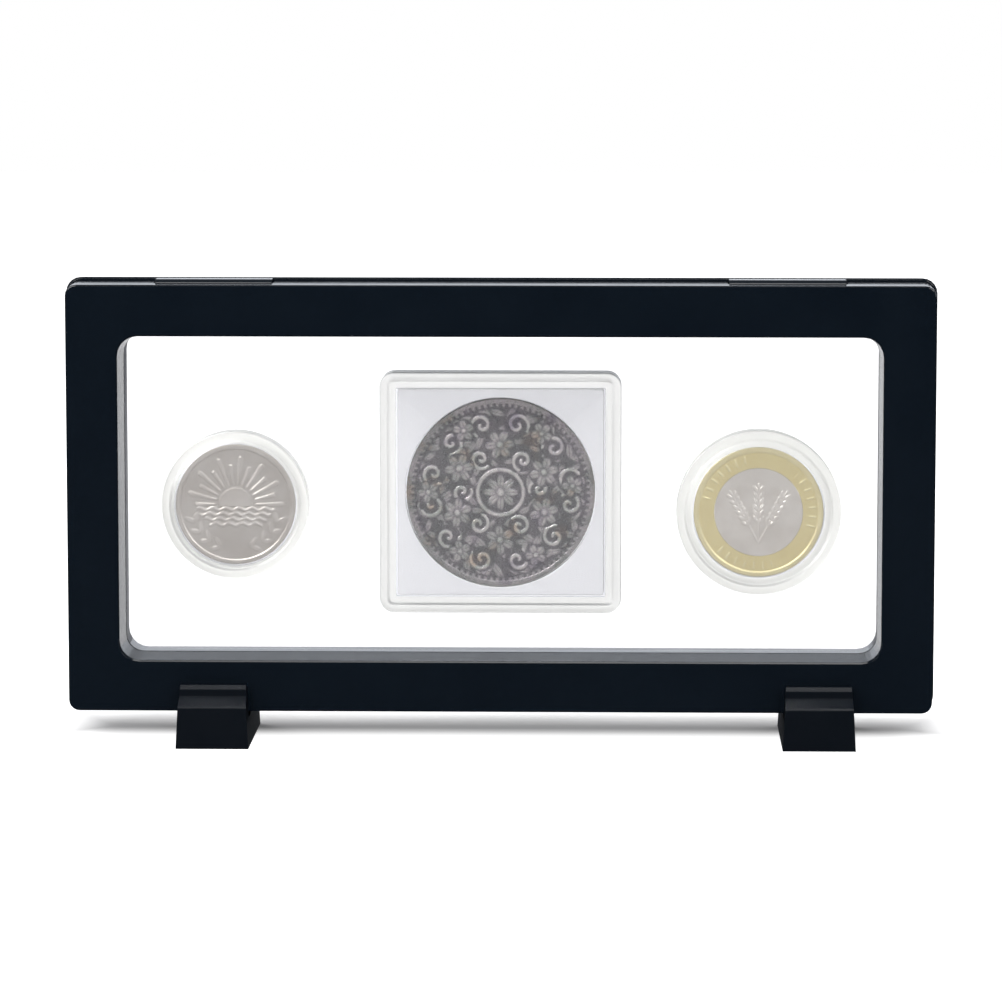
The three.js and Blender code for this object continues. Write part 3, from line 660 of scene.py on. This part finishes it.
# %% Foam material
cell_size, cell_depth, shade_size = 0.3, 0.05, 9
foam, tree = new_material("polyethylene_foam_skived")
place = add(tree, "TexCoord").outputs["Object"]
cells = add(tree, "TexVoronoi", {"Vector": place, "Scale": 1 / (cell_size * MM)}).outputs["Distance"]
shade = add(tree, "TexNoise", {"Vector": place, "Scale": 1 / (shade_size * MM), "Detail": 3.0})
colour = add(tree, "Mix", {0: shade, 6: linear("#E6E6E6"), 7: linear("#EEEEEE")}, data_type="RGBA")
bump = add(tree, "Bump", {"Height": cells, "Distance": cell_depth * MM, "Strength": 0.5})
skin = add(tree, "BsdfPrincipled", {"Base Color": colour.outputs[2], "Roughness": 0.9, "IOR": 1.5,
                                    "Normal": bump})
add(tree, "OutputMaterial", {"Surface": skin})
print("foam material:", foam.name)

# %% [markdown]
# ### The insert
# The insert is punched from the sheet, so its edges are almost sharp. A Boolean could cut the hole, but a
# closed loft gives a cleaner mesh: its rings run from the square edge over the front to the round hole,
# through the hole, and back over the rear.

# %% Foam insert
foam_half, foam_hole, foam_depth, foam_bevel, foam_corner = 21.3, 19.7, 1.6, 0.1, 0.5
front_rings = [(foam_half, 0, foam_depth - foam_bevel), (foam_half - foam_bevel, 0, foam_depth),
               (0, foam_hole + foam_bevel, foam_depth), (0, foam_hole, foam_depth - foam_bevel)]
back_rings = [(half, hole, -depth) for half, hole, depth in reversed(front_rings)]
rings = []
for half, hole, depth in front_rings + back_rings:
    flat = (outline(half, half, foam_corner, quarter_steps) if half
            else outline(hole, hole, hole, quarter_steps))
    rings.append(upright(flat, -depth, square))
make_piece("foam_insert", *loft(rings, True), foam, "case", ["square_capsule_insert"], "white_foam")

# %% [markdown]
# ## Struck relief
# A coin is struck between two dies, so its design is one height over each point of the face. That makes
# it easy to compute: each motif gives a height, and the highest motif at a point is taken. The motifs here
# are plain traditional ones: beads, rays, waves, tendrils, leaves and blossoms. All sizes and heights are
# in millimetres.

# %% Relief helpers
rim_rise, rim_ramp = 0.16, 0.16


def ridge(distance, width, height):
    """A rounded ridge along a line, and nothing further off than its width."""
    return height * np.sqrt(np.clip(1 - (distance / width) ** 2, 0, None))


def raised_rim(radius, outer, width):
    """The raised border of a coin, with a soft inner edge."""
    return rim_rise * np.clip((radius - (outer - width)) / rim_ramp, 0, 1)


def beads(radius, angle, place, count, size, height):
    """A ring of round beads."""
    step = 2 * math.pi / count
    along = ((angle / step) % 1 - 0.5) * step * place
    return ridge(np.hypot(radius - place, along), size, height)


print("a ridge of 0.1 mm is", round(float(ridge(0.25, 0.5, 0.1)), 3), "mm high half way out")

# %% [markdown]
# ### Leaves and tendrils
# A leaf is half an egg with a groove down its middle. A tendril is a ridge along a spiral, whose windings
# lie one pitch apart, so the distance to the nearest winding is all that the ridge needs.

# %% Leaf and tendril
groove_depth, groove_width = 0.5, 0.1


def at(radius, turn):
    """The point at a radius and a turn."""
    return radius * math.cos(turn), radius * math.sin(turn)


def leaf(x, z, centre, length, width, turn, height):
    """A domed leaf. The groove's depth and width are shares of the leaf's height and width."""
    u = (x - centre[0]) * math.cos(turn) + (z - centre[1]) * math.sin(turn)
    v = (z - centre[1]) * math.cos(turn) - (x - centre[0]) * math.sin(turn)
    body = np.clip(1 - (2 * u / length) ** 2 - (2 * v / width) ** 2, 0, None)
    return height * np.sqrt(body) * (1 - groove_depth * np.exp(-(v / (groove_width * width)) ** 2))


def scroll(x, z, centre, size, start, hand, turns):
    """Distance to a tendril that unrolls from its centre, over so many turns, to its size."""
    u, v = x - centre[0], hand * (z - centre[1])
    angle = (np.arctan2(v, u) - start) % (2 * math.pi) / (2 * math.pi)
    pitch = size / turns
    radius = np.hypot(u, v)
    winding = np.clip(np.round(radius / pitch - angle), 0, None)
    winding = np.where(winding + angle > turns, np.ceil(turns - angle) - 1, winding)
    return np.hypot(radius - pitch * (winding + angle), np.where(winding < 0, size, 0))


print("a leaf of 0.1 mm is", round(float(leaf(0, 0, (0, 0), 2, 1, 0, 0.1)), 3), "mm high in its groove")

# %% [markdown]
# ### Striking a coin
# Both faces are made of rings of points a fifth of a millimetre apart, each point lifted by the motifs'
# height there, and a few more rings make the edge, plain or reeded. The height is also kept as a value at
# each point, because the metal's colour depends on it. The border is worn, so it gets a middle value.

# %% Coin
ring_step, edge_rounding, half_reed = 0.18, 0.15, 0.04
worn_border, worn_height = 1.1, 0.07


def coin(name, group, outer, thickness, hole, faces, reeds, material, slot, steps=440):
    """A coin between two dies. faces give the heights of front and back; reeds is 0 for a plain edge."""
    half = thickness / 2
    field = half - rim_rise
    edge = outer - edge_rounding
    radii = np.concatenate([np.arange(hole, edge, ring_step), [edge]])
    angles = np.arange(steps) / steps * 2 * math.pi
    rings, relief = [], []
    for radius in radii:
        x, z = radius * np.cos(angles), radius * np.sin(angles)
        height = faces[0](x, z, np.full(steps, radius), angles)
        rings.append(np.stack([x, -field - height, z], axis=1))
        relief.append(np.full(steps, worn_height) if radius > outer - worn_border else height)
    for depth in np.linspace(edge_rounding - half, half - edge_rounding, 4):
        radius = outer - half_reed * (1 - np.cos(angles * reeds)) if reeds else np.full(steps, float(outer))
        rings.append(np.stack([radius * np.cos(angles), np.full(steps, depth), radius * np.sin(angles)], 1))
        relief.append(np.full(steps, rim_rise))
    for radius in radii[::-1]:
        x, z = radius * np.cos(angles), radius * np.sin(angles)
        height = faces[1](-x, z, np.full(steps, radius), math.pi - angles)
        rings.append(np.stack([x, field + height, z], axis=1))
        relief.append(height)
    points, quads = loft(rings, hole > 0, ends=False)
    points = points + np.array([group["x"], 0, group["z"]])
    return make_piece(name + "_struck", points, quads, material, "case", [name], slot,
                      np.concatenate(relief))


print("coin faces have a ring of points every", ring_step, "mm")

# %% [markdown]
# ## Coin metals
# A coin's colour follows its relief, because tarnish stays in the hollows and is rubbed off the high
# points. One plain colour would look like a plastic copy. So a colour ramp turns the stored height into
# the colour of hollow, field and high point, and a soft noise lays patches of tone over it. Handling marks
# come from a noise of 0.35 mm, coarser than real marks, so that they show.

# %% Metal helper
mark_size, smoother, rougher = 0.35, 0.06, 0.08


def coin_metal(name, ramp, patches, roughness, patch_size, patch_share, wear=0.006):
    """A metal whose colour follows the relief; ramp lists shares of its height with their colours."""
    material, tree = new_material(name)
    place = add(tree, "TexCoord").outputs["Object"]
    height = add(tree, "Attribute", attribute_name="relief").outputs["Fac"]
    tone = add(tree, "ValToRGB", {0: add(tree, "MapRange", {"Value": height, "From Max": rim_rise})})
    tone.color_ramp.elements[0].color = linear(ramp[0][1])
    tone.color_ramp.elements[1].color = linear(ramp[-1][1])
    for share, colour in ramp[1:-1]:
        tone.color_ramp.elements.new(share).color = linear(colour)
    cloud = add(tree, "TexNoise", {"Vector": place, "Scale": 1 / (patch_size * MM), "Detail": 4.0})
    hue = add(tree, "ValToRGB", {0: cloud})
    first, last = hue.color_ramp.elements
    first.position, last.position = noise_low, noise_high
    first.color, last.color = linear(patches[0]), linear(patches[-1])
    for k, colour in enumerate(patches[1:-1]):
        between = noise_low + (noise_high - noise_low) * (k + 1) / (len(patches) - 1)
        hue.color_ramp.elements.new(between).color = linear(colour)
    mixed = add(tree, "Mix", {0: patch_share, 6: tone, 7: hue}, data_type="RGBA", blend_type="MULTIPLY")
    marks = add(tree, "TexNoise", {"Vector": place, "Scale": 1 / (mark_size * MM), "Detail": 3.0})
    rough = add(tree, "MapRange", {"Value": marks, "From Min": noise_low, "From Max": noise_high,
                                   "To Min": roughness - smoother, "To Max": roughness + rougher})
    bump = add(tree, "Bump", {"Height": marks, "Distance": wear * MM, "Strength": 0.5})
    skin = add(tree, "BsdfPrincipled", {"Base Color": mixed.outputs[2], "Metallic": 1.0,
                                        "Roughness": rough, "Normal": bump})
    add(tree, "OutputMaterial", {"Surface": skin})
    print("metal:", name)
    return material


print("handling marks are", mark_size, "mm apart on every coin")

# %% [markdown]
# ### The four metals
# The small coin and the core of the two-metal coin are nickel-plated steel, and the core is a little
# whiter. The ring is a pale brass. The large coin is silver that has toned with age: sulphide darkens its
# hollows to a brown or bluish grey. All four were struck, which leaves them fairly smooth. The marks are
# half as deep on the silver as on the others, as on a coin that was kept and not spent.

# %% Four metals
toned_silver = coin_metal("toned_silver_struck",
                          [(0, "#6C6566"), (0.3, "#968E8D"), (0.7, "#C6BEB7"), (1, "#F2EBE3")],
                          ["#9A90AC", "#FFFFFF", "#B4C4BA", "#E0C8A6"], 0.3, 5, 0.7, 0.003)
nickel = coin_metal("nickel_plated_steel_struck",
                    [(0, "#CEC7BC"), (0.4, "#D6CFC4"), (1, "#EAE4DA")],
                    ["#E2DEDA", "#FFFFFF"], 0.38, 6, 0.6)
core_nickel = coin_metal("nickel_core_struck",
                         [(0, "#EEE7DA"), (0.4, "#F3ECDF"), (1, "#FBF6EC")],
                         ["#E2DEDA", "#FFFFFF"], 0.34, 5, 0.6)
brass = coin_metal("pale_brass_struck",
                   [(0, "#F3E4A8"), (0.4, "#F8ECB8"), (1, "#FDF5CC")],
                   ["#F0E8D8", "#FFFFFF"], 0.34, 6, 0.5)

# %% [markdown]
# ## The large coin
# Its face is crowded: a medallion with a blossom in the middle, and round it blossoms, curling tendrils
# and many small leaves, up to fine teeth at the rim. The leaves lie lowest, each tendril clears a round
# patch for itself, and the blossoms are laid on top. Six like parts go round, each shifted a little by a
# random number from a fixed seed, as an engraver's hand would.

# %% Places of the large coin's motifs
# A blossom is kept as its place, size, number of petals and turn, a tendril as its place, size, turn and
# hand, and a leaf as its place, length and turn.
rng = np.random.default_rng(3)
tendrils, leaves, blossoms = [], [], []
for k in range(6):
    turn = (k + 0.5) * math.pi / 3 + rng.uniform(-0.1, 0.1)
    blossoms += [(at(9.9, turn), 3.1, 6, rng.uniform(0, 1)),
                 (at(14.9, turn + math.pi / 6), 2.3, 5, rng.uniform(0, 1))]
    for side in (-1, 1):
        curl = turn + side * 0.26
        tendrils.append((at(14.4, curl), 2.5, curl + (0 if side > 0 else math.pi), side))
    tendrils.append((at(8.0, turn + math.pi / 6), 2.2, turn + 1.5, 1))
for spread, number, size in [(16.4, 44, 3.2), (12.8, 32, 3.3), (11.2, 26, 3.2), (6.5, 18, 2.7)]:
    for k in range(number):
        turn = (k + rng.uniform(-0.3, 0.3)) / number * 2 * math.pi
        leaves.append((at(spread + rng.uniform(-0.5, 0.5), turn), size * rng.uniform(0.8, 1.2),
                       turn + rng.choice([-1, 1]) * rng.uniform(0.4, 1.3)))
print(len(blossoms), "blossoms,", len(tendrils), "tendrils,", len(leaves), "leaves")

# %% [markdown]
# ### Its face
# Leaves, tendrils, petals and bosses each get a height of their own, so that they catch the light
# differently where they meet. The design ends in a narrow plain band, and fine teeth stand in the ring
# between that band and the rim.

# %% Face of the large coin
large_radius, large_rim = 19.5, 1.1
leaf_height, tendril_height, petal_height, boss_height, tooth_height = 0.11, 0.14, 0.13, 0.15, 0.08
tendril_width, tendril_turns = 0.42, 1.4
medallion_radius, medallion_edge, design_edge, teeth_edge = 4.7, 5.2, 17.6, 18.5


def blossom(height, x, z, centre, size, petals, start):
    """Lays a flower over what is there: a ring of petals round a boss."""
    near = np.hypot(x - centre[0], z - centre[1])
    flower = ridge(near, 0.24 * size, boss_height)
    for k in range(petals):
        turn = start + k / petals * 2 * math.pi
        flower = np.maximum(flower, leaf(x - centre[0], z - centre[1], at(0.6 * size, turn), 0.8 * size,
                                         3.4 * size / petals, turn, petal_height))
    return np.where(near < 1.02 * size, flower, height)


def large_face(x, z, radius, angle):
    """Blossoms, tendrils and leaves round a medallion."""
    height = np.zeros_like(x)
    for centre, length, way in leaves:
        height = np.maximum(height, leaf(x, z, centre, length, 0.42 * length, way, leaf_height))
    for centre, size, start, hand in tendrils:
        near = np.hypot(x - centre[0], z - centre[1])
        curl = ridge(scroll(x, z, centre, size, start, hand, tendril_turns), tendril_width,
                     tendril_height)
        height = np.where(near < size * 1.05, curl, height)
    for flower in blossoms:
        height = blossom(height, x, z, *flower)
    ring = ridge(radius - medallion_radius, tendril_width, tendril_height)
    height = blossom(np.where(radius < medallion_edge, ring, height), x, z, (0, 0), 3.7, 8, 0)
    height = height * np.clip((design_edge - radius) / 0.2, 0, 1)
    teeth = tooth_height * np.clip(np.cos(angle * 90) + 0.4, 0, 1)
    teeth = teeth * np.clip((radius - design_edge - 0.1) / 0.2, 0, 1) * (radius < teeth_edge)
    return np.maximum(np.maximum(height, teeth), raised_rim(radius, large_radius, large_rim))


print("large coin:", 2 * large_radius, "mm across")

# %% [markdown]
# ### Its back
# The photograph doesn't show the back, so it is a plain guess: a star whose rays sink into the field, in a
# ring of beads. With both faces known, the coin is struck, with 120 reeds round its edge.

# %% Back of the large coin
large_thickness, large_reeds = 2.6, 120
star_rays, star_height, star_end, star_fade, star_boss = 12, 0.12, 13.5, 6, 3.2
bead_ring, bead_count, bead_size, bead_height = 15.2, 60, 0.5, 0.12


def large_back(x, z, radius, angle):
    """A star of rays in a ring of beads."""
    rays = star_height * np.clip(np.cos(angle * star_rays) * 1.4, 0, 1)
    rays = rays * np.clip((star_end - radius) / star_fade, 0, 1)
    height = np.maximum(rays, ridge(radius, star_boss, boss_height))
    height = np.maximum(height, beads(radius, angle, bead_ring, bead_count, bead_size, bead_height))
    return np.maximum(height, raised_rim(radius, large_radius, large_rim))


coin("large_coin", square, large_radius, large_thickness, 0, (large_face, large_back), large_reeds,
     toned_silver, "toned_silver")

# %% [markdown]
# ## The small coin
# A plain circulation coin with low relief: a sun rises over waves, and two leafy sprigs close it below. The
# relief is lower than the rim, so that stacked coins rest on their rims.

# %% Face of the small coin
small_radius, small_rim = 12.5, 1.0
sun_radius, horizon, ray_count, wave_count, wave_step = 3.5, -0.4, 26, 4, 1.05
sprig_leaves, leaf_lean = 9, 0.7


def sprigs(x, z, reach, size, height):
    """Two sprigs of leaves that curve up on both sides."""
    total = np.zeros_like(x)
    for side in (-1, 1):
        for k in range(sprig_leaves):
            turn = -math.pi / 2 + side * (0.35 + 0.27 * k)
            for lean in (-leaf_lean, leaf_lean):
                way = turn + side * math.pi / 2 + lean
                tip = np.array(at(reach, turn)) + at(0.45 * size, way)
                total = np.maximum(total, leaf(x, z, tip, size, 0.42 * size, way, height))
    return total


def small_face(x, z, radius, angle):
    """A sun that rises over waves, above two sprigs."""
    long_or_short = 9.2 + 0.9 * np.cos(angle * ray_count / 2)
    rays = np.clip(np.cos(angle * ray_count) * 1.5, 0, 1) * (radius < long_or_short) * (z > horizon)
    height = np.where(radius > sun_radius + 0.7, 0.08 * rays, 0)
    sun = 0.05 + 0.07 * np.sqrt(np.clip(1 - (radius / sun_radius) ** 2, 0, 1))
    height = np.where((radius < sun_radius) & (z > horizon), sun, height)
    for k in range(wave_count):
        # Each wave lies lower than the one before, is shorter and is shifted along.
        crest = -1.0 - wave_step * k + 0.28 * np.sin(x * 2.3 + 1.6 * k)
        wave = np.maximum(height, ridge(z - crest, 0.36, 0.1))
        height = np.where(np.abs(x) < 8.2 - 0.9 * k, wave, height)
    height = np.maximum(height, sprigs(x, z, 9.4, 2.4, 0.11) * (z < -1.5))
    return np.maximum(height, raised_rim(radius, small_radius, small_rim))


print("small coin:", 2 * small_radius, "mm across")

# %% [markdown]
# ### Its back
# This back is a guess too: six leaves make a rosette, in a ring of beads. So is the plain edge, which the
# capsule's rim hides.

# %% Back of the small coin
small_thickness, small_steps = 1.9, 400


def small_back(x, z, radius, angle):
    """A rosette in a ring of beads."""
    height = beads(radius, angle, 10.2, 44, 0.4, 0.1)
    for k in range(6):
        turn = k * math.pi / 3
        height = np.maximum(height, leaf(x, z, at(3.6, turn), 5, 2.4, turn, 0.12))
    return np.maximum(height, raised_rim(radius, small_radius, small_rim))


coin("left_coin", left, small_radius, small_thickness, 0, (small_face, small_back), 0, nickel,
     "nickel_steel", small_steps)

# %% [markdown]
# ## The two-metal coin
# A brass ring is pressed round a nickel core, and both are struck together, so the design may cross the
# joint. Here short rays on the ring lead in to three ears of grain on the core.

# %% Ring of the two-metal coin
ring_radius, ring_rim, ring_hole, ring_thickness, ring_steps = 13.5, 1.1, 9.2, 2.0, 400
ring_rays, ray_start, ray_end = 36, 10.4, 12


def ring_face(x, z, radius, angle):
    """Short rays on the ring, in three groups with gaps between them."""
    share = angle / (2 * math.pi) * ring_rays
    rays = ridge((share % 1 - 0.5) * 2 * math.pi * radius / ring_rays, 0.22, 0.09)
    in_group = np.sin(angle * 3 + 1) > -0.2
    rays = rays * (radius > ray_start) * (radius < ray_end) * in_group
    return np.maximum(rays, raised_rim(radius, ring_radius, ring_rim))


coin("right_coin_ring", right, ring_radius, ring_thickness, ring_hole, (ring_face, ring_face), 0, brass,
     "nickel_brass", ring_steps)

# %% [markdown]
# ### The core
# The core has no rim of its own, so it isn't made by the coin function: it is two faces of rings that
# meet at the plain joint with the brass. Its faces lie a little deeper than the ring's border.

# %% Core of the two-metal coin
core_radius, core_half, core_step, core_points = 9.15, 0.84, 0.17, 400
foot_below, stalk_length, ear_start, grain_step, ear_grains, design_end = 6.5, 12.5, 5, 1.25, 6, 8.7


def core_face(x, z, radius):
    """Three ears of grain that spread from one foot. u runs across a stalk and v along it."""
    height = np.zeros_like(x)
    for lean in (-0.5, 0, 0.5):
        u = x * math.cos(lean) - (z + foot_below) * math.sin(lean)
        v = (z + foot_below) * math.cos(lean) + x * math.sin(lean)
        height = np.maximum(height, ridge(u, 0.2, 0.09) * (v > 0) * (v < stalk_length))
        for k in range(ear_grains):
            for side in (-1, 1):
                grain = (side * 0.6, ear_start + grain_step * k)
                way = math.pi / 2 - side * 0.45
                height = np.maximum(height, leaf(u, v, grain, 1.75, 0.72, way, 0.12))
    return height * (radius < design_end)


radii = np.append(np.arange(0, core_radius, core_step), core_radius)
angles = np.arange(core_points) / core_points * 2 * math.pi
rings, relief = [], []
for side, run in [(-1, radii), (1, radii[::-1])]:
    for radius in run:
        x, z = radius * np.cos(angles), radius * np.sin(angles)
        height = core_face(-side * x, z, radius)
        rings.append(np.stack([x + right["x"], side * (core_half + height), z + right["z"]], axis=1))
        relief.append(height)
make_piece("right_coin_core_struck", *loft(rings, False, ends=False), core_nickel, "case",
           ["right_coin_core"], "nickel_steel", np.concatenate(relief))
